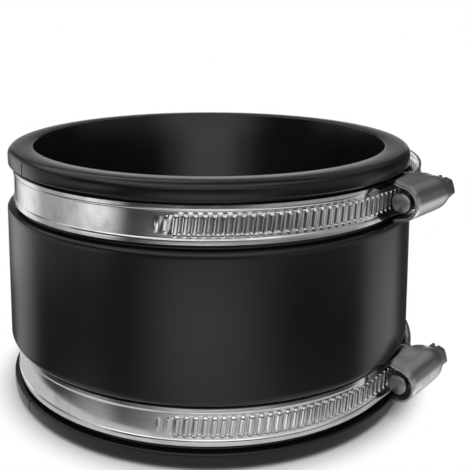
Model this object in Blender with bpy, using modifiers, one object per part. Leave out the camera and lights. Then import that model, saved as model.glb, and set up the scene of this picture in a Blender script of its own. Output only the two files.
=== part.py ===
"""Flexible rubber pipe coupling: a thick rubber sleeve with a grooved collar at each end, and a
worm-drive clamp in each groove. Metres, +Z up, origin on the pipe axis in the bottom face."""

import math

import bmesh
import bpy
from mathutils import Matrix, Vector

# Rubber sleeve, with the thickness of its wall at the body, at the lips and under the clamps
SLEEVE_HEIGHT = 0.0760
BORE_RADIUS = 0.0554
BODY_WALL = 0.0081
BODY_ROUNDING = 0.0010
LIP_WALL = 0.0076
LIP_HEIGHT = 0.0047
LIP_ROUNDING = 0.0019
GROOVE_WALL = 0.0050
EDGE_ROUNDING = 0.0004
SLEEVE_STEPS = 64

# Mould seam that notches both lips
SEAM_AZIMUTH = math.radians(-56.0)
SEAM_WIDTH = 0.0006
SEAM_DEPTH = 0.0005

# Clamp band, with its edges turned outwards
BAND_WIDTH = 0.0102
BAND_THICKNESS = 0.0007
FLANGE_WIDTH = 0.0012
FLANGE_RISE = 0.00045
BAND_STEP = math.radians(6.0)
INNER_RETURN_ANGLE = math.radians(42.0)
EXIT_RADIUS = 0.0120
TAIL_RADIUS = 0.0720
TAIL_LENGTH = 0.0480

# Pressed thread of the band
RIB_PITCH = 0.0023
RIB_LENGTH = 0.0054
RIB_HEIGHT = 0.0005
RIB_BASE = 0.0014
RIB_CREST = 0.0007
RIB_SINK = 0.0003
RIB_END_MARGIN = 0.0020
RUN_OUT = (0.45, 0.75)

# Worm screw; distances along it are from the point where the band leaves the sleeve
WORM_CREST = 0.0036
WORM_CORE = 0.0028
THREAD_START = 0.0075
THREAD_END = 0.0222
THREAD_FLAT = 0.0005
TIP_END = 0.0056
TIP_RADIUS = 0.0029
TIP_DOME = 0.0006
NECK_RADIUS = 0.0024
COLLAR_RADIUS = 0.0036
COLLAR_THICKNESS = 0.0006
HEAD_ACROSS_FLATS = 0.0070
HEAD_HEIGHT = 0.0048
HEAD_TURN = math.radians(-19.0)
HEAD_CHAMFER = 0.0004
SLOT_WIDTH = 0.0011
SLOT_DEPTH = 0.0016
SHAFT_STEPS = 12

# Pressed housing over the screw
SHEET = 0.0008
WORM_CLEARANCE = 0.0008
MOUTH = 0.0050
RIM = 0.0265
SKIRT_DROP = 0.0031
SKIRT_RISE = 0.0024
FOOT_LENGTH = 0.0034
FOOT_REACH = 0.0030
DOME_STEPS = 8

# Fits
SEAT_GAP = 0.0003
RIBS_AZIMUTH = math.radians(-5.6)

# How far each clamp is turned in its groove, and how far its band bends in past the housing
UPPER_AZIMUTH = math.radians(48.0)
UPPER_EXIT_BEND = math.radians(15.0)
LOWER_AZIMUTH = math.radians(49.5)
LOWER_EXIT_BEND = math.radians(24.0)

# Sizes that follow from those above
BODY_RADIUS = BORE_RADIUS + BODY_WALL
LIP_RADIUS = BORE_RADIUS + LIP_WALL
GROOVE_RADIUS = BORE_RADIUS + GROOVE_WALL
BAND_HALF = BAND_WIDTH / 2
HOUSING_HALF = BAND_HALF + SEAT_GAP + SHEET
GROOVE_WIDTH = 2 * (HOUSING_HALF + SEAT_GAP)
CLAMP_HEIGHT = LIP_HEIGHT + GROOVE_WIDTH / 2
BAND_MID = GROOVE_RADIUS + SEAT_GAP + BAND_THICKNESS / 2
LAYER_PITCH = BAND_THICKNESS + SEAT_GAP
INNER_LINE = BAND_MID - LAYER_PITCH
INNER_UNDERSIDE = INNER_LINE - BAND_THICKNESS / 2
FOOT_UNDERSIDE = INNER_UNDERSIDE - SEAT_GAP - SHEET
FIXED_END = math.sqrt((GROOVE_RADIUS + SEAT_GAP) ** 2 - INNER_UNDERSIDE**2)
FOOT_START = math.sqrt((GROOVE_RADIUS + SEAT_GAP) ** 2 - FOOT_UNDERSIDE**2)
FOOT_END = FOOT_START + FOOT_LENGTH
RIB_TOP = BAND_MID + BAND_THICKNESS / 2 + RIB_HEIGHT
WORM_AXIS = RIB_TOP + SEAT_GAP + WORM_CREST
WORM_LEAD_SLOPE = RIB_PITCH / (math.pi * (WORM_CREST + WORM_CORE))
DOME_RADIUS = WORM_CREST + WORM_CLEARANCE + SHEET / 2
RIM_RADIUS = NECK_RADIUS + SEAT_GAP + SHEET / 2
COLLAR_START = RIM + SEAT_GAP
HEAD_START = COLLAR_START + COLLAR_THICKNESS
HEAD_END = HEAD_START + HEAD_HEIGHT
HEAD_CORNER_RADIUS = HEAD_ACROSS_FLATS / math.sqrt(3)

for old in list(bpy.data.objects):
    bpy.data.objects.remove(old, do_unlink=True)

coupling = bpy.data.collections.new("flexible_pipe_coupling")
bpy.context.scene.collection.children.link(coupling)
cutters = bpy.data.collections.new("cutters")
cutters.hide_render = True
bpy.context.scene.collection.children.link(cutters)


def principled(name, colour, roughness, metallic):
    material = bpy.data.materials.new(name)
    material.use_nodes = True
    shader = material.node_tree.nodes["Principled BSDF"]
    shader.inputs["Base Color"].default_value = (*colour, 1.0)
    shader.inputs["Roughness"].default_value = roughness
    shader.inputs["Metallic"].default_value = metallic
    return material


def add_object(name, bm, material, parent=None):
    """A part of the coupling from a bmesh, shaded smooth with its creases kept."""
    mesh = bpy.data.meshes.new(name)
    bm.edges.index_update()
    open_edges = [edge.index for edge in bm.edges if len(edge.link_faces) == 1]
    bm.to_mesh(mesh)
    bm.free()
    obj = bpy.data.objects.new(name, mesh)
    coupling.objects.link(obj)
    mesh.materials.append(material)
    mesh.shade_smooth()
    mesh.set_sharp_from_angle(angle=math.radians(35))
    for index in open_edges:
        mesh.edges[index].use_edge_sharp = True
    obj.parent = parent
    return obj


def add_helper(name, bm, parent=None):
    """A closed shape that is only cut from, or joined to, a part."""
    mesh = bpy.data.meshes.new(name)
    bm.to_mesh(mesh)
    bm.free()
    obj = bpy.data.objects.new(name, mesh)
    cutters.objects.link(obj)
    obj.parent = parent
    obj.hide_render = True
    obj.display_type = "WIRE"
    return obj


def combine(obj, other, operation):
    boolean = obj.modifiers.new(operation.lower() + " " + other.name, "BOOLEAN")
    boolean.operation = operation
    boolean.object = other
    boolean.solver = "EXACT"


def turned(bm, profile, closed):
    """Points of a profile in the XZ plane, joined in order, for a Screw modifier to turn."""
    points = [bm.verts.new((radius, 0.0, height)) for radius, height in profile]
    for first, second in zip(points, points[1:]):
        bm.edges.new((first, second))
    if closed:
        bm.edges.new((points[-1], points[0]))


def turn(obj, steps):
    screw = obj.modifiers.new("turn", "SCREW")
    screw.steps = steps
    screw.render_steps = steps
    screw.use_merge_vertices = True
    screw.merge_threshold = 0.00001


def rounded_corner(corner, before, after, radius, steps):
    """Points round a corner of a profile, between the directions towards its two neighbours."""
    corner, before, after = Vector(corner), Vector(before), Vector(after)
    inward = (before - corner).normalized()
    onward = (after - corner).normalized()
    half = inward.angle(onward) / 2
    centre = corner + (inward + onward).normalized() * radius / math.sin(half)
    start = corner + inward * radius / math.tan(half)
    finish = corner + onward * radius / math.tan(half)
    sweep = (start - centre).angle_signed(finish - centre)
    return [
        tuple(centre + Matrix.Rotation(-sweep * step / steps, 2) @ (start - centre))
        for step in range(steps + 1)
    ]


rubber = principled("black_rubber", (0.020, 0.021, 0.022), 0.45, 0.0)
band_steel = principled("band_steel", (0.62, 0.63, 0.64), 0.22, 1.0)
housing_steel = principled("housing_steel", (0.58, 0.59, 0.60), 0.28, 1.0)
screw_steel = principled("screw_steel", (0.66, 0.66, 0.66), 0.25, 1.0)

# The sleeve's section: lip, groove and body down the outside, then back up the bore. Each
# corner is a point, how far it is rounded, and in how many steps.
lip_bottom = SLEEVE_HEIGHT - LIP_HEIGHT
body_top = lip_bottom - GROOVE_WIDTH
upper_corners = [
    ((BORE_RADIUS, SLEEVE_HEIGHT), EDGE_ROUNDING, 1),
    ((LIP_RADIUS, SLEEVE_HEIGHT), LIP_ROUNDING, 4),
    ((LIP_RADIUS, lip_bottom), EDGE_ROUNDING, 1),
    ((GROOVE_RADIUS, lip_bottom), EDGE_ROUNDING, 1),
    ((GROOVE_RADIUS, body_top), EDGE_ROUNDING, 1),
    ((BODY_RADIUS, body_top), BODY_ROUNDING, 2),
]
lower_corners = [
    ((radius, SLEEVE_HEIGHT - height), rounding, steps)
    for (radius, height), rounding, steps in reversed(upper_corners)
]
corners = upper_corners + lower_corners
section = []
for index, (corner, rounding, steps) in enumerate(corners):
    before = corners[index - 1][0]
    after = corners[(index + 1) % len(corners)][0]
    section += rounded_corner(corner, before, after, rounding, steps)

outline = bmesh.new()
turned(outline, section, closed=True)
sleeve = add_object("rubber_sleeve", outline, rubber)
turn(sleeve, SLEEVE_STEPS)

# The mould seam shows as a narrow nick through the rounded edge of each lip
seam_cutter = bmesh.new()
seam_inner = LIP_RADIUS - SEAM_DEPTH
seam_outer = LIP_RADIUS + LIP_ROUNDING
seam_overrun = LIP_HEIGHT / 2
for low, high in (
    (-seam_overrun, LIP_HEIGHT + seam_overrun),
    (lip_bottom - seam_overrun, SLEEVE_HEIGHT + seam_overrun),
):
    centre = Vector(((seam_inner + seam_outer) / 2, 0.0, (low + high) / 2))
    size = Vector((seam_outer - seam_inner, SEAM_WIDTH, high - low))
    bmesh.ops.create_cube(
        seam_cutter, matrix=Matrix.Translation(centre) @ Matrix.Diagonal(size).to_4x4()
    )
seam = add_helper("mould_seam", seam_cutter)
seam.rotation_euler.z = SEAM_AZIMUTH - math.pi / 2
combine(sleeve, seam, "DIFFERENCE")


def polar(radius, angle):
    return Vector((radius * math.cos(angle), radius * math.sin(angle)))


def band_path(exit_bend):
    """The middle of the band seen along the pipe, as (point, outward normal), from its fixed end
    round the sleeve, under the worm and out to its free end. X points out through the worm and
    Y along it. Both layers bend in round one centre as they leave the housing."""
    exit_centre = Vector((BAND_MID - EXIT_RADIUS, FOOT_END))
    exit_steps = round(exit_bend / BAND_STEP)
    exit_angles = [exit_bend * step / exit_steps for step in range(exit_steps + 1)]
    inner_exit = [exit_centre + polar(EXIT_RADIUS - LAYER_PITCH, turn) for turn in exit_angles]
    start = inner_exit.pop()
    start_way = polar(1.0, exit_bend + math.pi / 2)
    finish = polar(BAND_MID, INNER_RETURN_ANGLE)
    finish_way = polar(1.0, INNER_RETURN_ANGLE + math.pi / 2)
    handle = (finish - start).length * 0.36
    bends = (start, start + start_way * handle, finish - finish_way * handle, finish)
    points = [Vector((INNER_LINE, FIXED_END))] + inner_exit
    return_steps = 4
    for step in range(return_steps + 1):
        u = step / return_steps
        weights = ((1 - u) ** 3, 3 * u * (1 - u) ** 2, 3 * u * u * (1 - u), u**3)
        points.append(sum((w * p for w, p in zip(weights, bends)), Vector((0.0, 0.0))))
    round_steps = round((2 * math.pi - INNER_RETURN_ANGLE) / BAND_STEP)
    for step in range(1, round_steps + 1):
        share = step / round_steps
        angle = INNER_RETURN_ANGLE + (2 * math.pi - INNER_RETURN_ANGLE) * share
        points.append(polar(BAND_MID, angle))
    points += [exit_centre + polar(EXIT_RADIUS, turn) for turn in exit_angles]
    tail_centre = exit_centre + polar(EXIT_RADIUS - TAIL_RADIUS, exit_bend)
    tail_sweep = TAIL_LENGTH / TAIL_RADIUS
    tail_steps = round(tail_sweep / BAND_STEP)
    for step in range(1, tail_steps + 1):
        angle = exit_bend + tail_sweep * step / tail_steps
        points.append(tail_centre + polar(TAIL_RADIUS, angle))
    stations = []
    for index, point in enumerate(points):
        ahead = points[min(index + 1, len(points) - 1)]
        behind = points[max(index - 1, 0)]
        along = (ahead - point).normalized() + (point - behind).normalized()
        along.normalize()
        stations.append((point, Vector((along.y, -along.x))))
    return stations


def on_ribbed_run(distance, exit_bend):
    """Point and outward normal on the true curve, at a distance past the point where the band
    leaves the sleeve."""
    if distance < 0.0:
        normal = polar(1.0, distance / BAND_MID)
        return normal * BAND_MID, normal
    if distance < FOOT_END:
        return Vector((BAND_MID, distance)), Vector((1.0, 0.0))
    exit_centre = Vector((BAND_MID - EXIT_RADIUS, FOOT_END))
    past_bend = distance - FOOT_END - EXIT_RADIUS * exit_bend
    if past_bend < 0.0:
        normal = polar(1.0, (distance - FOOT_END) / EXIT_RADIUS)
        return exit_centre + normal * EXIT_RADIUS, normal
    tail_centre = exit_centre + polar(EXIT_RADIUS - TAIL_RADIUS, exit_bend)
    normal = polar(1.0, exit_bend + past_bend / TAIL_RADIUS)
    return tail_centre + normal * TAIL_RADIUS, normal


def band_strip(exit_bend):
    """The plain strip: a grid laid along the path, its two edges turned outwards."""
    stations = band_path(exit_bend)
    flange_tilt = math.atan2(FLANGE_RISE, FLANGE_WIDTH)
    edge = BAND_HALF - math.sin(flange_tilt) * BAND_THICKNESS / 2
    across = (
        (-edge, FLANGE_RISE),
        (FLANGE_WIDTH - edge, 0.0),
        (edge - FLANGE_WIDTH, 0.0),
        (edge, FLANGE_RISE),
    )
    strip = bmesh.new()
    bmesh.ops.create_grid(
        strip, x_segments=len(stations) - 1, y_segments=len(across) - 1, size=0.5
    )
    for vert in strip.verts:
        point, normal = stations[round((vert.co.x + 0.5) * (len(stations) - 1))]
        height, rise = across[round((vert.co.y + 0.5) * (len(across) - 1))]
        place = point + normal * rise
        vert.co = (place.x, place.y, height)
    bmesh.ops.recalc_face_normals(strip, faces=strip.faces)
    return strip


def band_ribs(ribbed_arc, exit_bend):
    """The pressed thread: slanted ridges in mesh with the worm, shorter where they run in. They
    start at an arc before the point where the band leaves the sleeve."""
    round_length = ribbed_arc * BAND_MID
    free_length = FOOT_END + EXIT_RADIUS * exit_bend + TAIL_LENGTH
    full_ribs = int((round_length + free_length - RIB_END_MARGIN) / RIB_PITCH)
    ribs = bmesh.new()
    for index in range(-len(RUN_OUT), full_ribs):
        size = RUN_OUT[index + len(RUN_OUT)] if index < 0 else 1.0
        point, normal = on_ribbed_run(index * RIB_PITCH - round_length, exit_bend)
        along = Vector((-normal.y, normal.x))
        half_base = RIB_LENGTH * size / 2
        half_crest = half_base - (RIB_BASE - RIB_CREST) / 2
        foot = BAND_THICKNESS / 2 - RIB_SINK
        top = BAND_THICKNESS / 2 + RIB_HEIGHT * size
        for vert in bmesh.ops.create_cube(ribs, size=2.0)["verts"]:
            on_crest = vert.co.z > 0
            height = vert.co.y * (half_crest if on_crest else half_base)
            sideways = vert.co.x * (RIB_CREST if on_crest else RIB_BASE) / 2
            place = point + normal * (top if on_crest else foot)
            place += along * (sideways + height * WORM_LEAD_SLOPE)
            vert.co = (place.x, place.y, height)
    bmesh.ops.recalc_face_normals(ribs, faces=ribs.faces)
    return ribs


def housing_shell():
    """The pressed cover as an open sheet: a dome over the worm that narrows to a rim round the
    neck, splayed skirts beside the band, and two feet folded under it."""
    foot_level = FOOT_UNDERSIDE + SHEET / 2
    skirt_half = HOUSING_HALF - SHEET / 2
    taper_steps = 4
    stations = [(MOUTH, 0.0), (FOOT_START, 0.0), (FOOT_END, 0.0)]
    for step in range(1, taper_steps + 1):
        share = step / taper_steps
        stations.append((FOOT_END + (RIM - FOOT_END) * share, share))
    skirt = [(-SKIRT_DROP, skirt_half), (-SKIRT_DROP / 2, (skirt_half + DOME_RADIUS) / 2)]
    half_count = len(skirt) + DOME_STEPS // 2
    shell = bmesh.new()
    across = 2 * half_count
    bmesh.ops.create_grid(shell, x_segments=len(stations) - 1, y_segments=across, size=0.5)
    feet = []
    for vert in shell.verts:
        station = round((vert.co.x + 0.5) * (len(stations) - 1))
        column = round((vert.co.y + 0.5) * across)
        side = 1 if column > half_count else -1
        from_edge = min(column, across - column)
        along, taper = stations[station]
        radius = DOME_RADIUS + (RIM_RADIUS - DOME_RADIUS) * taper**2
        if from_edge < len(skirt):
            drop, half = skirt[from_edge]
            drop += SKIRT_RISE * taper * (drop / -SKIRT_DROP)
            half += (radius + (half - DOME_RADIUS) * (1 - taper) - half) * taper
            out = drop
        else:
            angle = (from_edge - len(skirt)) * math.pi / DOME_STEPS
            out = radius * math.sin(angle)
            half = radius * math.cos(angle)
        vert.co = (WORM_AXIS + out, along, side * half)
        if from_edge == 0 and along in (FOOT_START, FOOT_END):
            feet.append(vert)
    edges = [e for e in shell.edges if e.verts[0] in feet and e.verts[1] in feet]
    for move in (foot_level - (WORM_AXIS - SKIRT_DROP), None):
        edges = bmesh.ops.extrude_edge_only(shell, edges=edges)["geom"]
        verts = [item for item in edges if isinstance(item, bmesh.types.BMVert)]
        edges = [item for item in edges if isinstance(item, bmesh.types.BMEdge)]
        for vert in verts:
            if move is not None:
                vert.co.x += move
            else:
                vert.co.z -= math.copysign(FOOT_REACH, vert.co.z)
    bmesh.ops.recalc_face_normals(shell, faces=shell.faces)
    return shell


def thicken(obj, thickness):
    solidify = obj.modifiers.new("sheet", "SOLIDIFY")
    solidify.thickness = thickness
    solidify.offset = 0.0
    solidify.use_even_offset = True


def screw_shaft():
    """Tip, threaded core, neck and collar as one turned profile, down its outer side."""
    neck_start = THREAD_END + (WORM_CREST - NECK_RADIUS) / 2
    profile = (
        (0.0, HEAD_START),
        (COLLAR_RADIUS, HEAD_START),
        (COLLAR_RADIUS, COLLAR_START),
        (NECK_RADIUS, COLLAR_START),
        (NECK_RADIUS, neck_start),
        (WORM_CORE, THREAD_END),
        (WORM_CORE, THREAD_START),
        (TIP_RADIUS, TIP_END + TIP_DOME),
        (TIP_RADIUS - TIP_DOME, TIP_END),
        (0.0, TIP_END),
    )
    shaft = bmesh.new()
    turned(shaft, profile, closed=False)
    return shaft


def worm_thread():
    """The ridge of the worm: its section spun round the axis and along it by one pitch a turn."""
    foot = WORM_CORE * math.cos(math.pi / SHAFT_STEPS) - SEAT_GAP
    first = THREAD_START + RIB_PITCH / 2
    flank = (RIB_PITCH - THREAD_FLAT) / 2 - SEAT_GAP
    turns = (THREAD_END - THREAD_START) / RIB_PITCH - 1
    steps = round(turns * SHAFT_STEPS)
    ridge = bmesh.new()
    outline = [
        ridge.verts.new((radius, 0.0, first + half))
        for radius, half in (
            (foot, flank),
            (WORM_CREST, THREAD_FLAT / 2),
            (WORM_CREST, -THREAD_FLAT / 2),
            (foot, -flank),
        )
    ]
    ridge.faces.new(outline)
    bmesh.ops.spin(
        ridge,
        geom=ridge.verts[:] + ridge.edges[:] + ridge.faces[:],
        axis=(0.0, 0.0, 1.0),
        angle=2 * math.pi * steps / SHAFT_STEPS,
        steps=steps,
        dvec=(0.0, 0.0, RIB_PITCH / SHAFT_STEPS),
    )
    bmesh.ops.recalc_face_normals(ridge, faces=ridge.faces)
    return ridge


def screw_head():
    """Slotted hexagon with its outer corners taken off."""
    head = bmesh.new()
    overlap = COLLAR_THICKNESS / 2
    height = HEAD_HEIGHT + overlap
    bmesh.ops.create_cone(
        head,
        cap_ends=True,
        segments=6,
        radius1=HEAD_CORNER_RADIUS,
        radius2=HEAD_CORNER_RADIUS,
        depth=height,
        matrix=Matrix.Translation((0.0, 0.0, HEAD_END - height / 2))
        @ Matrix.Rotation(HEAD_TURN, 4, "Z"),
    )
    rim = [e for e in head.edges if all(v.co.z > HEAD_END - overlap for v in e.verts)]
    bmesh.ops.bevel(head, geom=rim, offset=HEAD_CHAMFER, segments=1, affect="EDGES")
    return head


def screw_slot():
    slot = bmesh.new()
    size = Vector((SLOT_WIDTH, 3 * HEAD_CORNER_RADIUS, 2 * SLOT_DEPTH))
    bmesh.ops.create_cube(
        slot, matrix=Matrix.Translation((0.0, 0.0, HEAD_END)) @ Matrix.Diagonal(size).to_4x4()
    )
    return slot


def build_clamp(prefix, height, azimuth, exit_bend):
    """One worm-drive clamp, carried by an empty on the pipe axis that turns it in its groove."""
    clamp = bpy.data.objects.new(prefix + "_clamp", None)
    coupling.objects.link(clamp)
    clamp.location.z = height
    clamp.rotation_euler.z = azimuth - math.pi / 2

    band = add_object(prefix + "_band", band_strip(exit_bend), band_steel, clamp)
    thicken(band, BAND_THICKNESS)
    ridges = band_ribs(azimuth - RIBS_AZIMUTH, exit_bend)
    combine(band, add_helper(prefix + "_band_ribs", ridges, clamp), "UNION")

    housing = add_object(prefix + "_housing", housing_shell(), housing_steel, clamp)
    thicken(housing, SHEET)

    screw = add_object(prefix + "_screw", screw_shaft(), screw_steel, clamp)
    screw.location.x = WORM_AXIS
    screw.rotation_euler.x = -math.pi / 2
    turn(screw, SHAFT_STEPS)
    combine(screw, add_helper(prefix + "_screw_thread", worm_thread(), screw), "UNION")
    combine(screw, add_helper(prefix + "_screw_head", screw_head(), screw), "UNION")
    combine(screw, add_helper(prefix + "_screw_slot", screw_slot(), screw), "DIFFERENCE")


build_clamp("upper", SLEEVE_HEIGHT - CLAMP_HEIGHT, UPPER_AZIMUTH, UPPER_EXIT_BEND)
build_clamp("lower", CLAMP_HEIGHT, LOWER_AZIMUTH, LOWER_EXIT_BEND)
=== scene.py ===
import math
import bmesh
import bpy
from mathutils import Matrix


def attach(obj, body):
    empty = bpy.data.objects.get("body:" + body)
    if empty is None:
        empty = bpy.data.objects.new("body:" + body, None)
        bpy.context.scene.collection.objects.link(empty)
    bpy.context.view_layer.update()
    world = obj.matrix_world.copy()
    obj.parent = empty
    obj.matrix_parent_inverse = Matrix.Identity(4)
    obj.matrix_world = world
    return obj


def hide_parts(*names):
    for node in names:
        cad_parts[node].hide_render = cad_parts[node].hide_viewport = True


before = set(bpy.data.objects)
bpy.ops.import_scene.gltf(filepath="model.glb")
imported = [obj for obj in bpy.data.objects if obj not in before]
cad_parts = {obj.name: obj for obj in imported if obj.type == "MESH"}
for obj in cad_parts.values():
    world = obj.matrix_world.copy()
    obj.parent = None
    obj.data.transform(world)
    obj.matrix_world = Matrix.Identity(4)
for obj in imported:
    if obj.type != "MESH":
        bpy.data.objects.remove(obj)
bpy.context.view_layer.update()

# Rubber sleeve
# One moulding of soft black rubber, open from end to end. A rounded lip stands at each end, and
# the groove behind it keeps a clamp from sliding off. The mould's joint left a nick in both lips.
SLEEVE_HEIGHT = 0.0760
BORE_RADIUS = 0.0554
LIP_RADIUS = 0.0630
LIP_HEIGHT = 0.0047
LIP_ROUNDING = 0.0019
GROOVE_RADIUS = 0.0604
GROOVE_WIDTH = 0.0130
BODY_RADIUS = 0.0635
BODY_ROUNDING = 0.0010
EDGE_ROUNDING = 0.0004
SLEEVE_SIDES = 256
SEAM_AZIMUTH = math.radians(-56.0)
SEAM_WIDTH = 0.0006
SEAM_DEPTH = 0.0005
SEAM_HEIGHT = 1.2 * LIP_HEIGHT
SEAM_SOFTNESS = 0.4 * SEAM_WIDTH
RUBBER_BLACK = (0.0036, 0.0036, 0.0037)
RUBBER_BLOOM = (0.0050, 0.0050, 0.0051)
NEAR = 1e-5


class Shade:
    """A socket in one tree of nodes. Python's operators on it add Math nodes."""

    def __init__(self, tree, socket=None):
        self.tree = tree
        self.socket = socket

    def node(self, kind, settings, inputs, output=0):
        """A node by its type, with its settings first and then the values or links it takes."""
        made = self.tree.nodes.new("ShaderNode" + kind)
        for name, value in settings.items():
            setattr(made, name, value)
        for name, value in inputs.items():
            if isinstance(value, Shade):
                self.tree.links.new(value.socket, made.inputs[name])
            else:
                made.inputs[name].default_value = value
        return Shade(self.tree, made.outputs[output])

    def math(self, operation, first, second=0.0):
        return self.node("Math", {"operation": operation}, {0: first, 1: second})

    def __add__(self, other):
        return self.math("ADD", self, other)

    def __radd__(self, other):
        return self.math("ADD", other, self)

    def __sub__(self, other):
        return self.math("SUBTRACT", self, other)

    def __rsub__(self, other):
        return self.math("SUBTRACT", other, self)

    def __mul__(self, other):
        return self.math("MULTIPLY", self, other)

    def __rmul__(self, other):
        return self.math("MULTIPLY", other, self)

    def step(self, low, high):
        """0 below low and 1 above high, or the other way where low is the larger."""
        ends = {"From Min": low, "From Max": high}
        return self.node("MapRange", {"interpolation_type": "SMOOTHSTEP"}, {"Value": self, **ends})

    def noise(self, place, scale, detail=2.0):
        fineness = {"Vector": place, "Scale": scale, "Detail": detail}
        return self.node("TexNoise", {}, fineness)

    def mix(self, amount, first, second):
        """The first colour where amount is 0 and the second where it is 1."""
        colours = {0: amount, 6: (*first, 1.0), 7: (*second, 1.0)}
        return self.node("Mix", {"data_type": "RGBA"}, colours, 2)

    def put(self, name, shader):
        self.tree.links.new(self.socket, shader.inputs[name])


def new_material(name, metallic=0.0, specular=0.5):
    material = bpy.data.materials.new(name)
    material.use_nodes = True
    shader = material.node_tree.nodes["Principled BSDF"]
    shader.inputs["Metallic"].default_value = metallic
    shader.inputs["Specular IOR Level"].default_value = specular
    return material, shader, Shade(material.node_tree)


def pick(piece, kind, chosen):
    """Selects only the vertices, edges or faces whose every corner is chosen."""
    bpy.ops.mesh.select_mode(type=kind)
    bpy.ops.mesh.select_all(action="DESELECT")
    mesh = bmesh.from_edit_mesh(piece.data)
    if kind == "VERT":
        elements = [(vert, [vert]) for vert in mesh.verts]
    else:
        sources = mesh.edges if kind == "EDGE" else mesh.faces
        elements = [(element, element.verts) for element in sources]
    for element, corners in elements:
        if all(chosen(corner.co) for corner in corners):
            element.select_set(True)
    mesh.select_flush_mode()
    bmesh.update_edit_mesh(piece.data)


def begin(name):
    """Names the primitive just added and opens it for editing, with its place in its mesh and
    all of it selected."""
    piece = bpy.context.object
    piece.name = name
    bpy.ops.object.transform_apply(location=True, rotation=True, scale=True)
    bpy.ops.object.mode_set(mode="EDIT")
    bpy.ops.mesh.select_all(action="SELECT")
    return piece


def draw_rings(axis, start, rings):
    """Extrudes the selected ring along an axis through a list of (radius, distance)."""
    radius, distance = start
    for new_radius, new_distance in rings:
        move = [0.0, 0.0, 0.0]
        move[axis] = new_distance - distance
        grow = [new_radius / radius] * 3
        grow[axis] = 1.0
        centre = [0.0, 0.0, 0.0]
        centre[axis] = new_distance
        bpy.ops.mesh.extrude_region_move(TRANSFORM_OT_translate={"value": move})
        bpy.ops.transform.resize(value=grow, center_override=centre)
        radius, distance = new_radius, new_distance


def apply_modifier(piece, name, kind, settings):
    bpy.context.view_layer.objects.active = piece
    modifier = piece.modifiers.new(name, kind)
    for setting, value in settings.items():
        setattr(modifier, setting, value)
    bpy.ops.object.modifier_apply(modifier=modifier.name)


def combine(piece, tool, operation):
    """Cuts the tool from the piece, or joins or keeps what they share, and clears it away."""
    settings = {"operation": operation, "object": tool, "solver": "EXACT"}
    apply_modifier(piece, "combine", "BOOLEAN", settings)
    bpy.data.objects.remove(tool, do_unlink=True)


def settle(piece, sharp_angle=35.0):
    """Puts the piece's place into its mesh and shades it smooth, with its creases kept."""
    bpy.ops.object.select_all(action="DESELECT")
    piece.select_set(True)
    bpy.context.view_layer.objects.active = piece
    bpy.ops.object.transform_apply(location=True, rotation=True, scale=True)
    bpy.ops.object.shade_smooth_by_angle(angle=math.radians(sharp_angle))


bpy.ops.object.select_all(action="DESELECT")
bpy.ops.mesh.primitive_circle_add(vertices=SLEEVE_SIDES, radius=BORE_RADIUS)
sleeve = begin("moulded_sleeve")
groove_foot = LIP_HEIGHT
groove_head = LIP_HEIGHT + GROOVE_WIDTH
lower_side = [
    (LIP_RADIUS, 0.0),
    (LIP_RADIUS, groove_foot),
    (GROOVE_RADIUS, groove_foot),
    (GROOVE_RADIUS, groove_head),
    (BODY_RADIUS, groove_head),
    (BODY_RADIUS, groove_head + 2 * BODY_ROUNDING),
]
upper_side = [(radius, SLEEVE_HEIGHT - height) for radius, height in reversed(lower_side)]
inner_side = [(BORE_RADIUS, SLEEVE_HEIGHT), (BORE_RADIUS, 0.0)]
draw_rings(2, (BORE_RADIUS, 0.0), lower_side + upper_side + inner_side)
bpy.ops.mesh.select_all(action="SELECT")
bpy.ops.mesh.remove_doubles(threshold=NEAR)
bpy.ops.mesh.normals_make_consistent(inside=False)
rounded = [
    (BORE_RADIUS, 0.0, EDGE_ROUNDING, 3),
    (LIP_RADIUS, 0.0, LIP_ROUNDING, 8),
    (LIP_RADIUS, groove_foot, EDGE_ROUNDING, 3),
    (GROOVE_RADIUS, groove_foot, EDGE_ROUNDING, 3),
    (GROOVE_RADIUS, groove_head, EDGE_ROUNDING, 3),
    (BODY_RADIUS, groove_head, BODY_ROUNDING, 5),
]
for radius, height, rounding, steps in rounded:
    for level in (height, SLEEVE_HEIGHT - height):
        pick(
            sleeve,
            "EDGE",
            lambda co: abs(math.hypot(co.x, co.y) - radius) < NEAR and abs(co.z - level) < NEAR,
        )
        bpy.ops.mesh.bevel(offset=rounding, segments=steps, affect="EDGES")
bpy.ops.object.mode_set(mode="OBJECT")

nick_middle = LIP_RADIUS + 0.5 * LIP_ROUNDING
nick_size = (2 * (nick_middle - LIP_RADIUS + SEAM_DEPTH), SEAM_WIDTH, SEAM_HEIGHT)
for lip_middle in (LIP_HEIGHT / 2, SLEEVE_HEIGHT - LIP_HEIGHT / 2):
    bpy.ops.object.select_all(action="DESELECT")
    bpy.ops.mesh.primitive_cube_add(size=1.0, location=(nick_middle, 0.0, lip_middle))
    nick = begin("parting_line")
    bpy.ops.transform.resize(value=nick_size, center_override=(nick_middle, 0.0, lip_middle))
    bpy.ops.mesh.bevel(offset=SEAM_SOFTNESS, segments=2, affect="EDGES")
    bpy.ops.object.mode_set(mode="OBJECT")
    nick.rotation_euler.z = SEAM_AZIMUTH - math.pi / 2
    combine(sleeve, nick, "DIFFERENCE")
settle(sleeve)

rubber, rubber_shader, shade = new_material("moulded_black_rubber", specular=0.4)
place = shade.node("TexCoord", {}, {}, "Object")
cloudy = shade.noise(place, 55.0, 3.0)
skin = shade.noise(place, 2600.0, 2.0)
bloom = cloudy.step(0.42, 0.72)
shade.mix(bloom, RUBBER_BLACK, RUBBER_BLOOM).put("Base Color", rubber_shader)
(0.18 + 0.04 * cloudy + 0.04 * skin).put("Roughness", rubber_shader)
moulded = {"Strength": 0.12, "Distance": 0.00005, "Height": skin}
shade.node("Bump", {}, moulded).put("Normal", rubber_shader)
sleeve.data.materials.append(rubber)
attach(sleeve, "sleeve")
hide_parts("rubber_sleeve")

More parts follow.
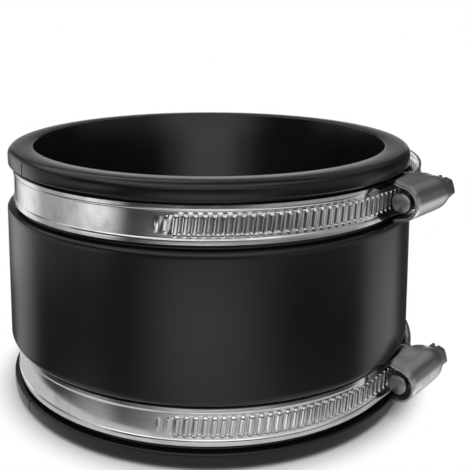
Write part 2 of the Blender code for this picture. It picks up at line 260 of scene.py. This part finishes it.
# Clamp bands
# Each clamp has one strip of stainless steel with its edges rolled out. Slanted threads are
# pressed into it, not cut through, from the front round to its free end. The other end is held
# under the housing.
CLAMP_HEIGHT = LIP_HEIGHT + GROOVE_WIDTH / 2
# Each clamp's height, the azimuth of its worm, and the bend of its band past the worm.
CLAMPS = {
    "upper": (SLEEVE_HEIGHT - CLAMP_HEIGHT, math.radians(48.0), math.radians(15.0)),
    "lower": (CLAMP_HEIGHT, math.radians(49.5), math.radians(24.0)),
}
BAND_WIDTH = 0.0102
BAND_THICKNESS = 0.0007
# The rows that a band is cut into lie this far from its middle line, on both sides.
FLANGE_FROM = 0.00386
FLANGE_ROWS = (0.00352, 0.00363, 0.0037, FLANGE_FROM, 0.00393, 0.00404)
FLANGE_RISE = 0.00025
BAND_LINE = 0.06105
LAYER_PITCH = 0.0010
FIXED_END = 0.01098
FOOT_START = 0.01583
FOOT_END = 0.01923
RETURN_AZIMUTH = math.radians(42.0)
RETURN_REACH = 0.36
RETURN_STEPS = 30
EXIT_RADIUS = 0.0120
TAIL_RADIUS = 0.0720
TAIL_LENGTH = 0.0480
RIBS_AZIMUTH = math.radians(-7.9)
RIB_PITCH = 0.00242
RIB_HEIGHT = 0.00042
RIB_HOLLOW = 0.00016
RIB_ROWS = (0.0028, 0.0026, 0.0023, 0.0020, 0.0006)
# Columns are shares of the thread's pitch.
RIB_COLUMNS = (0.06, 0.22, 0.38, 0.46, 0.54, 0.73, 0.93)
BAR_MIDDLE = 0.22
HOLLOW_MIDDLE = 0.73
FULL_BAR = (
    (0.06, 0.0023, 0.0023, 0.8),
    (BAR_MIDDLE, 0.0026, 0.0023, 1.0),
    (0.38, 0.0023, 0.0023, 0.8),
)
FULL_HOLLOW = (
    (0.54, 0.0023, 0.0026, 0.9),
    (HOLLOW_MIDDLE, 0.0023, 0.0026, 1.0),
    (0.93, 0.0023, 0.0026, 0.9),
)
# The first two threads are short and shallow: their half length and their part of the height.
RUN_IN = ((0.0006, 0.45), (0.0020, 0.8))
RIB_PHASE = 0.20
RIB_SLANT = 0.1144
RIB_END_MARGIN = 0.0020
PLAIN_STEP = 0.0060
PATH_STEP = math.radians(0.75)
BAND_DARK = (0.54, 0.545, 0.55)
BAND_LIGHT = (0.66, 0.665, 0.67)


def polar(radius, angle, centre=(0.0, 0.0)):
    return (centre[0] + radius * math.cos(angle), centre[1] + radius * math.sin(angle))


def arc(centre, radius, start, sweep):
    """Points of an arc after its first one."""
    steps = max(2, round(sweep / PATH_STEP))
    return [polar(radius, start + sweep * step / steps, centre) for step in range(1, steps + 1)]


def band_line(exit_bend):
    """The line that one band follows, seen along the pipe with the worm on the X side, and its
    length up to the point where it leaves the sleeve."""
    exit_centre = (BAND_LINE - EXIT_RADIUS, FOOT_END)
    line = [(BAND_LINE - LAYER_PITCH, FIXED_END), (BAND_LINE - LAYER_PITCH, FOOT_END)]
    line += arc(exit_centre, EXIT_RADIUS - LAYER_PITCH, 0.0, exit_bend)
    start = line[-1]
    finish = polar(BAND_LINE, RETURN_AZIMUTH)
    reach = RETURN_REACH * math.dist(start, finish)
    second = polar(reach, exit_bend + math.pi / 2, start)
    third = polar(-reach, RETURN_AZIMUTH + math.pi / 2, finish)
    for step in range(1, RETURN_STEPS + 1):
        u = step / RETURN_STEPS
        weights = ((1 - u) ** 3, 3 * u * (1 - u) ** 2, 3 * u * u * (1 - u), u**3)
        ends = (start, second, third, finish)
        line.append(tuple(sum(w * p[i] for w, p in zip(weights, ends)) for i in (0, 1)))
    line += arc((0.0, 0.0), BAND_LINE, RETURN_AZIMUTH, 2 * math.pi - RETURN_AZIMUTH)
    leaves = sum(math.dist(first, second) for first, second in zip(line, line[1:]))
    line.append((BAND_LINE, FOOT_END))
    line += arc(exit_centre, EXIT_RADIUS, 0.0, exit_bend)
    tail_centre = polar(EXIT_RADIUS - TAIL_RADIUS, exit_bend, exit_centre)
    line += arc(tail_centre, TAIL_RADIUS, exit_bend, TAIL_LENGTH / TAIL_RADIUS)
    return line, leaves


def strip_length(name, start, length, columns):
    """A flat length of strip along X, facing -Y, cut into columns and into the rows that the
    rolled edges and the threads need. Its edges are already rolled out."""
    bpy.ops.object.select_all(action="DESELECT")
    middle = (start + length / 2, 0.0, 0.0)
    bpy.ops.mesh.primitive_plane_add(size=1.0, location=middle, rotation=(math.pi / 2, 0.0, 0.0))
    piece = begin(name)
    bpy.ops.transform.resize(value=(length, 1.0, BAND_WIDTH), center_override=middle)
    for share in columns:
        cut = (start + share * length, 0.0, 0.0)
        bpy.ops.mesh.select_all(action="SELECT")
        bpy.ops.mesh.bisect(plane_co=cut, plane_no=(1.0, 0.0, 0.0))
    for row in (*FLANGE_ROWS, *RIB_ROWS):
        for side in (row, -row):
            bpy.ops.mesh.select_all(action="SELECT")
            bpy.ops.mesh.bisect(plane_co=(0.0, 0.0, side), plane_no=(0.0, 0.0, 1.0))
    pick(piece, "VERT", lambda co: abs(co.z) > FLANGE_FROM - NEAR)
    bpy.ops.transform.translate(value=(0.0, -FLANGE_RISE, 0.0))
    return piece


def slant_rows(piece):
    """Leans the rows of the threads over, by the lead of the worm."""
    rows = {round(vert.co.z, 6) for vert in bmesh.from_edit_mesh(piece.data).verts}
    for row in rows:
        if abs(row) < RIB_ROWS[0] + NEAR:
            pick(piece, "VERT", lambda co: abs(co.z - row) < NEAR)
            bpy.ops.transform.translate(value=(row * RIB_SLANT, 0.0, 0.0))


def threaded_length(name, start, bar, hollow, depth=1.0):
    """One pitch of the pressed thread: a raised bar with a hollow beside it, both with round
    ends. Each column of them is (its share of the pitch, its reach down, its reach up, its part
    of the full height)."""
    piece = strip_length(name, start, RIB_PITCH, RIB_COLUMNS)
    for pushed, push in ((bar, -RIB_HEIGHT), (hollow, RIB_HOLLOW)):
        for share, down, up, part in pushed:
            column = start + share * RIB_PITCH
            pick(
                piece,
                "VERT",
                lambda co: abs(co.x - column) < NEAR and -down - NEAR < co.z < up + NEAR,
            )
            bpy.ops.transform.translate(value=(0.0, push * part * depth, 0.0))
    slant_rows(piece)
    bpy.ops.object.mode_set(mode="OBJECT")
    return piece


def plain_length(name, start, length):
    count = max(1, round(length / PLAIN_STEP))
    piece = strip_length(name, start, length / count, ())
    slant_rows(piece)
    bpy.ops.object.mode_set(mode="OBJECT")
    return repeat(piece, count, length / count)


def repeat(piece, count, pitch):
    settings = {
        "count": count,
        "use_relative_offset": False,
        "use_constant_offset": True,
        "constant_offset_displace": (pitch, 0.0, 0.0),
        "use_merge_vertices": True,
        "merge_threshold": NEAR,
    }
    apply_modifier(piece, "repeat", "ARRAY", settings)
    return piece


def clamp_place(piece, azimuth, height):
    """Turns a clamp's piece from the clamp's own axes to its place on the sleeve."""
    piece.rotation_euler.z = azimuth - math.pi / 2
    piece.location.z = height


def brushed_steel(name, dark, light, roughness, streak_depth, drawn_out=0.0):
    """Steel with the fine lines that rolling and pressing leave, all running level."""
    material, shader, shade = new_material(name, metallic=1.0)
    shader.inputs["Anisotropic"].default_value = drawn_out
    shader.inputs["Anisotropic Rotation"].default_value = 0.25
    place = shade.node("TexCoord", {}, {}, "Object")
    drawn = {"Vector": place, "Scale": (60.0, 60.0, 3800.0)}
    streaks = shade.noise(shade.node("Mapping", {}, drawn), 1.0, 3.0)
    patches = shade.noise(place, 140.0, 3.0)
    handled = patches.step(0.45, 0.75)
    shade.mix(handled, light, dark).put("Base Color", shader)
    (roughness + 0.06 * streaks + 0.07 * handled).put("Roughness", shader)
    lines = {"Strength": streak_depth, "Distance": 0.00002, "Height": streaks}
    shade.node("Bump", {}, lines).put("Normal", shader)
    return material


band_steel = brushed_steel(
    "rolled_band_steel", BAND_DARK, BAND_LIGHT, roughness=0.08, streak_depth=0.16, drawn_out=0.2
)

for clamp, (height, azimuth, exit_bend) in CLAMPS.items():
    line, leaves = band_line(exit_bend)
    guide = bpy.data.curves.new(clamp + "_band_line", "CURVE")
    spline = guide.splines.new("POLY")
    spline.points.add(len(line) - 1)
    for point, (x, y) in zip(spline.points, line):
        point.co = (x, y, 0.0, 1.0)
    line_object = bpy.data.objects.new(clamp + "_band_line", guide)
    bpy.context.scene.collection.objects.link(line_object)

    full_length = sum(math.dist(first, second) for first, second in zip(line, line[1:]))
    round_run = (azimuth - RIBS_AZIMUTH) * BAND_LINE
    free_run = FOOT_END + EXIT_RADIUS * exit_bend + TAIL_LENGTH
    full_threads = int((round_run + free_run - RIB_END_MARGIN) / RIB_PITCH)
    first_thread = leaves - round_run - RIB_PHASE * RIB_PITCH
    last_thread = first_thread + full_threads * RIB_PITCH
    lengths = [plain_length("plain", 0.0, first_thread - len(RUN_IN) * RIB_PITCH)]
    for count, (reach, depth) in enumerate(RUN_IN):
        start = first_thread - (len(RUN_IN) - count) * RIB_PITCH
        bar = ((BAR_MIDDLE, reach, reach, 1.0),)
        hollow = ((HOLLOW_MIDDLE, reach, reach, 1.0),)
        lengths.append(threaded_length("run_in", start, bar, hollow, depth))
    threads = threaded_length("threads", first_thread, FULL_BAR, FULL_HOLLOW)
    lengths.append(repeat(threads, full_threads, RIB_PITCH))
    lengths.append(plain_length("end", last_thread, full_length - last_thread))

    bpy.ops.object.select_all(action="DESELECT")
    for piece in lengths:
        piece.select_set(True)
    band = lengths[0]
    bpy.context.view_layer.objects.active = band
    bpy.ops.object.join()
    band.name = clamp + "_pressed_band"
    bpy.ops.object.mode_set(mode="EDIT")
    bpy.ops.mesh.select_all(action="SELECT")
    bpy.ops.mesh.remove_doubles(threshold=2 * NEAR)
    bpy.ops.mesh.normals_make_consistent(inside=False)
    bpy.ops.object.mode_set(mode="OBJECT")
    settle(band)
    apply_modifier(band, "soften", "SUBSURF", {"levels": 1, "render_levels": 1})
    apply_modifier(band, "wrap", "CURVE", {"object": line_object, "deform_axis": "POS_X"})
    sheet = {"thickness": BAND_THICKNESS, "offset": 0.0, "use_even_offset": True}
    apply_modifier(band, "sheet", "SOLIDIFY", sheet)
    bpy.data.objects.remove(line_object, do_unlink=True)
    clamp_place(band, azimuth, height)
    settle(band, sharp_angle=50.0)
    band.data.materials.clear()
    band.data.materials.append(band_steel)
    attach(band, clamp + "_clamp")
    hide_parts(clamp + "_band")

# Worm housings
# The cover of each worm is one pressing of steel sheet: a dome along the screw that narrows to a
# rim round its neck, skirts that spread beside the band, and two feet folded under the band.
WORM_AXIS = 0.0658
SHEET = 0.0008
DOME_RADIUS = 0.0048
RIM_RADIUS = 0.0040
MOUTH = 0.0056
RIM = 0.0265
SKIRT_HALF = 0.0058
SKIRT_DROP = 0.0031
SKIRT_RISE = 0.0024
FOOT_LEVEL = 0.0590
FOOT_REACH = 0.0030
DOME_SIDES = 32
TAPER_STATIONS = (0.25, 0.5, 0.75, 1.0)
DOME_TAPER = 5
SKIRT_TAPER = 2
HOUSING_EDGE = 0.00022
HOUSING_DARK = (0.50, 0.505, 0.51)
HOUSING_LIGHT = (0.62, 0.625, 0.63)


def fit_to_clamps(model, material, body, node):
    """Gives the model its steel, copies it for the lower clamp and puts both in place."""
    model.data.materials.clear()
    model.data.materials.append(material)
    copies = {"lower": model.copy(), "upper": model}
    copies["lower"].data = model.data.copy()
    copies["lower"].name = model.name.replace("upper", "lower")
    bpy.context.scene.collection.objects.link(copies["lower"])
    for clamp, piece in copies.items():
        height, azimuth, _ = CLAMPS[clamp]
        clamp_place(piece, azimuth, height)
        settle(piece, sharp_angle=40.0)
        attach(piece, clamp + body)
        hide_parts(clamp + node)


bpy.ops.object.select_all(action="DESELECT")
bpy.ops.mesh.primitive_circle_add(
    vertices=DOME_SIDES,
    radius=DOME_RADIUS,
    location=(WORM_AXIS, MOUTH, 0.0),
    rotation=(math.pi / 2, 0.0, 0.0),
)
housing = begin("upper_pressed_housing")
pick(housing, "VERT", lambda co: co.x < WORM_AXIS - NEAR)
bpy.ops.mesh.delete(type="VERT")
skirt_step = (SKIRT_HALF - DOME_RADIUS) / 2
for side in (1.0, -1.0):
    pick(housing, "VERT", lambda co: co.x < WORM_AXIS + NEAR and co.z * side > 0.0)
    for step in range(2):
        move = (-SKIRT_DROP / 2, 0.0, side * skirt_step)
        bpy.ops.mesh.extrude_vertices_move(TRANSFORM_OT_translate={"value": move})
stations = [(FOOT_START, 0.0), (FOOT_END, 0.0)]
stations += [(FOOT_END + (RIM - FOOT_END) * share, share) for share in TAPER_STATIONS]
reached = MOUTH
drawn_radius = DOME_RADIUS
bpy.ops.mesh.select_all(action="SELECT")
for station, taper in stations:
    radius = DOME_RADIUS + (RIM_RADIUS - DOME_RADIUS) * taper**DOME_TAPER
    centre = (WORM_AXIS, station, 0.0)
    pick(housing, "EDGE", lambda co: abs(co.y - reached) < NEAR)
    move = {"value": (0.0, station - reached, 0.0)}
    bpy.ops.mesh.extrude_region_move(TRANSFORM_OT_translate=move)
    shrink = radius / drawn_radius
    bpy.ops.transform.resize(value=(shrink, 1.0, shrink), center_override=centre)
    reached = station
    drawn_radius = radius
    if taper:
        drop = SKIRT_DROP - SKIRT_RISE * taper**SKIRT_TAPER
        half = radius + (SKIRT_HALF - DOME_RADIUS) * (1 - taper)
        pick(housing, "VERT", lambda co: abs(co.y - reached) < NEAR and co.x < WORM_AXIS - NEAR)
        now = [vert.co.copy() for vert in bmesh.from_edit_mesh(housing.data).verts if vert.select]
        now_drop = WORM_AXIS - min(co.x for co in now)
        now_half = max(abs(co.z) for co in now)
        fit = (drop / now_drop, 1.0, half / now_half)
        bpy.ops.transform.resize(value=fit, center_override=centre)
for side in (1.0, -1.0):
    pick(
        housing,
        "EDGE",
        lambda co: abs(co.x - WORM_AXIS + SKIRT_DROP) < NEAR
        and FOOT_START - NEAR < co.y < FOOT_END + NEAR
        and co.z * side > 0.0,
    )
    down = (FOOT_LEVEL - WORM_AXIS + SKIRT_DROP, 0.0, 0.0)
    bpy.ops.mesh.extrude_region_move(TRANSFORM_OT_translate={"value": down})
    under = (0.0, 0.0, -side * FOOT_REACH)
    bpy.ops.mesh.extrude_region_move(TRANSFORM_OT_translate={"value": under})
bpy.ops.mesh.select_all(action="SELECT")
bpy.ops.mesh.normals_make_consistent(inside=False)
bpy.ops.object.mode_set(mode="OBJECT")
apply_modifier(housing, "soften", "SUBSURF", {"levels": 2, "render_levels": 2})
pressed = {"thickness": SHEET, "offset": 0.0, "use_even_offset": True}
apply_modifier(housing, "sheet", "SOLIDIFY", pressed)
sheared = {"width": HOUSING_EDGE, "segments": 2, "angle_limit": math.radians(50.0)}
apply_modifier(housing, "cut edges", "BEVEL", {"limit_method": "ANGLE", **sheared})
housing_steel = brushed_steel(
    "pressed_housing_steel", HOUSING_DARK, HOUSING_LIGHT, roughness=0.24, streak_depth=0.35
)
fit_to_clamps(housing, housing_steel, "_clamp", "_housing")

# Worm screws
# A turned steel screw lies in each housing. Its tip shows in the mouth, its thread bites the
# band, and its neck turns in the rim. The slotted hexagon head outside takes a driver or socket.
WORM_CREST = 0.0036
WORM_CORE = 0.0028
THREAD_START = 0.0075
THREAD_END = 0.0222
THREAD_MARGIN = 0.0002
THREAD_FLANK = 0.42
THREAD_LAND = 0.16
THREAD_ROOT = WORM_CORE - 0.0003
TIP_END = 0.0056
TIP_RADIUS = 0.0029
TIP_ROUNDING = 0.0006
TIP_STEPS = ((0.40, 0.00026), (0.32, 0.00012))
TIP_SHOULDER = 0.0004
NECK_SLOPE = 0.0006
NECK_RADIUS = 0.0024
COLLAR_START = 0.0268
COLLAR_RADIUS = 0.0036
HEAD_START = 0.0274
HEAD_END = 0.0319
HEAD_ACROSS_FLATS = 0.0067
HEAD_TURN = math.radians(-14.0)
HEAD_ROOT = 0.0002
CHAMFER_DEPTH = 0.0062
CHAMFER_WIDE = 0.0136
CHAMFER_FACE = 0.0029
SLOT_WIDTH = 0.0011
SLOT_DEPTH = 0.0016
SCREW_EDGE = 0.00012
SCREW_DARK = (0.24, 0.24, 0.238)
SCREW_LIGHT = (0.34, 0.34, 0.337)

bpy.ops.object.select_all(action="DESELECT")
tip_face = TIP_RADIUS - TIP_ROUNDING
bpy.ops.mesh.primitive_circle_add(
    vertices=48,
    radius=tip_face,
    fill_type="NGON",
    location=(0.0, TIP_END, 0.0),
    rotation=(math.pi / 2, 0.0, 0.0),
)
screw = begin("upper_turned_screw")
for share, rise in TIP_STEPS:
    bpy.ops.mesh.inset(thickness=share * tip_face)
    bpy.ops.transform.translate(value=(0.0, -rise, 0.0))
pick(screw, "EDGE", lambda co: math.hypot(co.x, co.z) > tip_face - NEAR)
draw_rings(
    1,
    (tip_face, TIP_END),
    [
        (TIP_RADIUS - 0.3 * TIP_ROUNDING, TIP_END + 0.3 * TIP_ROUNDING),
        (TIP_RADIUS, TIP_END + TIP_ROUNDING),
        (TIP_RADIUS, THREAD_START - TIP_SHOULDER),
        (WORM_CORE, THREAD_START),
        (WORM_CORE, THREAD_END),
        (NECK_RADIUS, THREAD_END + NECK_SLOPE),
        (NECK_RADIUS, COLLAR_START),
        (COLLAR_RADIUS, COLLAR_START),
        (COLLAR_RADIUS, HEAD_START + HEAD_ROOT),
    ],
)
bpy.ops.mesh.edge_face_add()
bpy.ops.mesh.select_all(action="SELECT")
bpy.ops.mesh.normals_make_consistent(inside=False)
bpy.ops.object.mode_set(mode="OBJECT")

corner_radius = HEAD_ACROSS_FLATS / math.sqrt(3)
head_middle = (HEAD_START + HEAD_END) / 2
bpy.ops.object.select_all(action="DESELECT")
bpy.ops.mesh.primitive_cylinder_add(
    vertices=6,
    radius=corner_radius,
    depth=HEAD_END - HEAD_START,
    location=(0.0, head_middle, 0.0),
    rotation=(math.pi / 2, math.radians(30.0) - HEAD_TURN, 0.0),
)
head = begin("head")
bpy.ops.object.mode_set(mode="OBJECT")
bpy.ops.object.select_all(action="DESELECT")
bpy.ops.mesh.primitive_cone_add(
    vertices=64,
    radius1=CHAMFER_WIDE,
    radius2=CHAMFER_FACE,
    depth=CHAMFER_DEPTH,
    location=(0.0, HEAD_END - CHAMFER_DEPTH / 2, 0.0),
    rotation=(-math.pi / 2, 0.0, 0.0),
)
chamfer = begin("chamfer")
bpy.ops.object.mode_set(mode="OBJECT")
combine(head, chamfer, "INTERSECT")
combine(screw, head, "UNION")
bpy.ops.object.select_all(action="DESELECT")
bpy.ops.mesh.primitive_cube_add(size=1.0, location=(0.0, HEAD_END, 0.0))
slot = begin("slot")
bpy.ops.transform.resize(
    value=(SLOT_WIDTH, 2 * SLOT_DEPTH, 3 * corner_radius), center_override=(0.0, HEAD_END, 0.0)
)
bpy.ops.object.mode_set(mode="OBJECT")
combine(screw, slot, "DIFFERENCE")

bpy.ops.object.select_all(action="DESELECT")
bpy.ops.mesh.primitive_plane_add(size=0.0002, location=(THREAD_ROOT, THREAD_START - RIB_PITCH, 0.0))
ridge = begin("ridge")
bpy.ops.mesh.merge(type="CENTER")
flank = THREAD_FLANK * RIB_PITCH
land = THREAD_LAND * RIB_PITCH
rise = WORM_CREST - THREAD_ROOT
for move in ((rise, flank, 0.0), (0.0, land, 0.0), (-rise, flank, 0.0)):
    bpy.ops.mesh.extrude_vertices_move(TRANSFORM_OT_translate={"value": move})
bpy.ops.object.mode_set(mode="OBJECT")
wound = {
    "axis": "Y",
    "screw_offset": RIB_PITCH,
    "iterations": round((THREAD_END - THREAD_START) / RIB_PITCH) + 2,
    "steps": 32,
    "render_steps": 32,
    "use_merge_vertices": True,
    "merge_threshold": NEAR,
}
apply_modifier(ridge, "wind", "SCREW", wound)
bpy.ops.object.mode_set(mode="EDIT")
bpy.ops.mesh.select_all(action="SELECT")
bpy.ops.mesh.remove_doubles(threshold=NEAR)
for end, side in ((THREAD_START + THREAD_MARGIN, -1.0), (THREAD_END - THREAD_MARGIN, 1.0)):
    bpy.ops.mesh.select_all(action="SELECT")
    bpy.ops.mesh.bisect(
        plane_co=(0.0, end, 0.0), plane_no=(0.0, side, 0.0), use_fill=True, clear_outer=True
    )
bpy.ops.mesh.select_all(action="SELECT")
bpy.ops.mesh.normals_make_consistent(inside=False)
bpy.ops.object.mode_set(mode="OBJECT")
combine(screw, ridge, "UNION")
worn = {"width": SCREW_EDGE, "segments": 2, "angle_limit": math.radians(35.0)}
apply_modifier(screw, "worn edges", "BEVEL", {"limit_method": "ANGLE", **worn})
screw.location.x = WORM_AXIS
settle(screw)
screw_steel = brushed_steel(
    "plated_screw_steel", SCREW_DARK, SCREW_LIGHT, roughness=0.32, streak_depth=0.30
)
fit_to_clamps(screw, screw_steel, "_worm", "_screw")

# Studio
# The coupling stands on a pale table with a soft box above the camera. Dim and bright panels
# stand round it, and the steel and the rubber mirror them. Two lamps light the bore's back wall.
TABLE_RADIUS = 0.077
TABLE_DROP = 0.0002
TABLE_BORDER = 0.01
TABLE_FADE = (0.062, 0.072)
TABLE_SHADED = (0.50, 0.50, 0.50)
TABLE_PALE = (0.97, 0.97, 0.97)
WHITE = (1.0, 1.0, 1.0, 1.0)
SOFT_BOX_SIZE = 1.20
SOFT_BOX_ENERGY = 2.6
BORE_LAMP_HEIGHT = 0.046
# Each lamp's width, energy and place. The narrow one stands just in front of the wide one.
BORE_LAMPS = (
    (0.066, 0.0040, (-0.001, -0.0250, 0.051)),
    (0.032, 0.0046, (-0.001, -0.0245, 0.051)),
)

bpy.ops.object.select_all(action="DESELECT")
bpy.ops.mesh.primitive_circle_add(
    vertices=128, radius=TABLE_RADIUS, fill_type="NGON", location=(0.0, 0.0, -TABLE_DROP)
)
floor = begin("table")
bpy.ops.mesh.inset(thickness=TABLE_BORDER)
bpy.ops.object.mode_set(mode="OBJECT")
pale, pale_shader, shade = new_material("pale_table", specular=0.1)
place = shade.node("TexCoord", {}, {}, "Object")
watched = shade.node("LightPath", {}, {}, "Is Camera Ray")
seen = watched + shade.node("LightPath", {}, {}, "Is Glossy Ray")
seen = seen + shade.node("LightPath", {}, {}, "Is Transmission Ray")
grain = 0.03 * shade.noise(place, 90.0, 4.0)
shade.mix(seen, TABLE_SHADED, TABLE_PALE).put("Base Color", pale_shader)
(0.85 + grain).put("Roughness", pale_shader)
reach = shade.node("VectorMath", {"operation": "LENGTH"}, {0: place}, "Value")
paper = shade.node("Emission", {}, {"Color": WHITE}, "Emission")
faded = watched * reach.step(*TABLE_FADE)
table_top = Shade(pale.node_tree, pale_shader.outputs["BSDF"])
table_end = shade.node("MixShader", {}, {0: faded, 1: table_top, 2: paper}, "Shader")
table_end.put("Surface", pale.node_tree.nodes["Material Output"])
floor.data.materials.append(pale)

world = bpy.data.worlds.new("studio")
bpy.context.scene.world = world
world.use_nodes = True
room = Shade(world.node_tree)
view = room.node("TexCoord", {}, {}, "Generated")
across = room.node("SeparateXYZ", {}, {"Vector": view}, "X")
towards = room.node("SeparateXYZ", {}, {"Vector": view}, "Y")
upwards = room.node("SeparateXYZ", {}, {"Vector": view}, "Z")
bearing = room.math("ARCTAN2", across, -1.0 * towards) * (180.0 / math.pi)
# Bearings are in degrees, 0 towards the camera and negative to the left. Each panel is its
# strength times the bearings and the heights between which it shows.
behind = bearing.step(-152.0, -164.0) + bearing.step(152.0, 164.0)
backdrop = behind * upwards.step(0.155, 0.12) * upwards.step(-0.34, -0.24)
upper_box = 1.2 * bearing.step(-42.0, -62.0) * bearing.step(-92.0, -66.0)
upper_box = upper_box * upwards.step(-0.305, -0.275) * upwards.step(-0.13, -0.20)
lower_box = 0.65 * bearing.step(-50.0, -68.0) * bearing.step(-100.0, -76.0)
lower_box = lower_box * upwards.step(-0.45, -0.50) * upwards.step(-0.64, -0.58)
gap = 0.42 * bearing.step(-76.0, -86.0) * bearing.step(-152.0, -144.0)
gap = gap * upwards.step(-0.345, -0.30)
left_wall = 0.65 * bearing.step(-106.0, -120.0) * bearing.step(-146.0, -132.0)
left_wall = left_wall * upwards.step(-0.48, -0.40)
low_wall = 0.50 * bearing.step(-122.0, -136.0) * upwards.step(-0.40, -0.48)
right_wall = 0.8 * bearing.step(88.0, 102.0) * bearing.step(136.0, 120.0)
right_wall = right_wall * upwards.step(-0.16, -0.32)
right_glow = 0.36 * bearing.step(8.0, 40.0) * bearing.step(112.0, 92.0) * upwards.step(-0.31, -0.27)
left_side = upper_box + lower_box + gap + left_wall + low_wall
walls = upwards.step(0.40, 0.20) * (left_side + right_wall + right_glow)
panel = 1.35 * bearing.step(-50.0, -8.0) * bearing.step(50.0, 0.0)
panel = panel * upwards.step(-0.29, -0.315) * upwards.step(-0.48, -0.44)
ground = 0.35 + 0.35 * bearing.step(-30.0, -10.0) * bearing.step(90.0, 50.0)
ground = ground + 0.45 * upwards.step(-0.56, -0.64)
ground = ground * upwards.step(-0.46, -0.54) * upwards.step(-0.86, -0.70)
top_light = upwards.step(0.40, 0.60) * upwards.step(0.94, 0.78)
top_light = top_light * (0.30 + 0.70 * bearing.step(90.0, 60.0))
front_light = 1.5 * bearing.step(-50.0, -15.0) * bearing.step(50.0, 15.0)
front_light = front_light * upwards.step(0.02, 0.08) * upwards.step(0.32, 0.22)
studio = 0.05 + walls + panel + ground + top_light + front_light + 0.03 * behind
seen = room.node("LightPath", {}, {}, "Is Camera Ray")
mirrored = room.node("LightPath", {}, {}, "Is Glossy Ray")
mirrored = mirrored + room.node("LightPath", {}, {}, "Is Transmission Ray")
white = seen + mirrored * backdrop
unseen = 1.0 - seen - mirrored
brightness = white + mirrored * (1.0 - backdrop) * studio + 0.70 * unseen
background = world.node_tree.nodes["Background"]
brightness.put("Strength", background)
background.inputs["Color"].default_value = WHITE

box_data = bpy.data.lights.new("soft_box", "AREA")
box_data.size = SOFT_BOX_SIZE
box_data.energy = SOFT_BOX_ENERGY
box = bpy.data.objects.new("soft_box", box_data)
box.location = (-0.157, -0.431, 0.695)
box.rotation_euler = (math.radians(35.0), 0.0, math.radians(-20.0))
bpy.context.scene.collection.objects.link(box)

for width, energy, lamp_place in BORE_LAMPS:
    lamp_data = bpy.data.lights.new("bore_lamp", "AREA")
    lamp_data.shape = "RECTANGLE"
    lamp_data.size = width
    lamp_data.size_y = BORE_LAMP_HEIGHT
    lamp_data.energy = energy
    lamp = bpy.data.objects.new("bore_lamp", lamp_data)
    lamp.location = lamp_place
    lamp.rotation_euler = (math.radians(90.0), 0.0, 0.0)
    lamp.visible_camera = False
    bpy.context.scene.collection.objects.link(lamp)

# Camera
# A long lens stands in front, a little above the coupling and turned down to it. The lens is
# shifted so that the picture is framed as the photograph is.
camera_data = bpy.data.cameras.new("front_camera")
camera_data.lens = 61.08
camera_data.shift_x = 0.0556
camera_data.shift_y = -0.2553
camera = bpy.data.objects.new("front_camera", camera_data)
camera.location = (0.0, -0.25304, 0.12003)
camera.rotation_euler = (math.radians(81.82), 0.0, 0.0)
bpy.context.scene.collection.objects.link(camera)
bpy.context.scene.camera = camera
bpy.context.scene.view_settings.view_transform = "Standard"
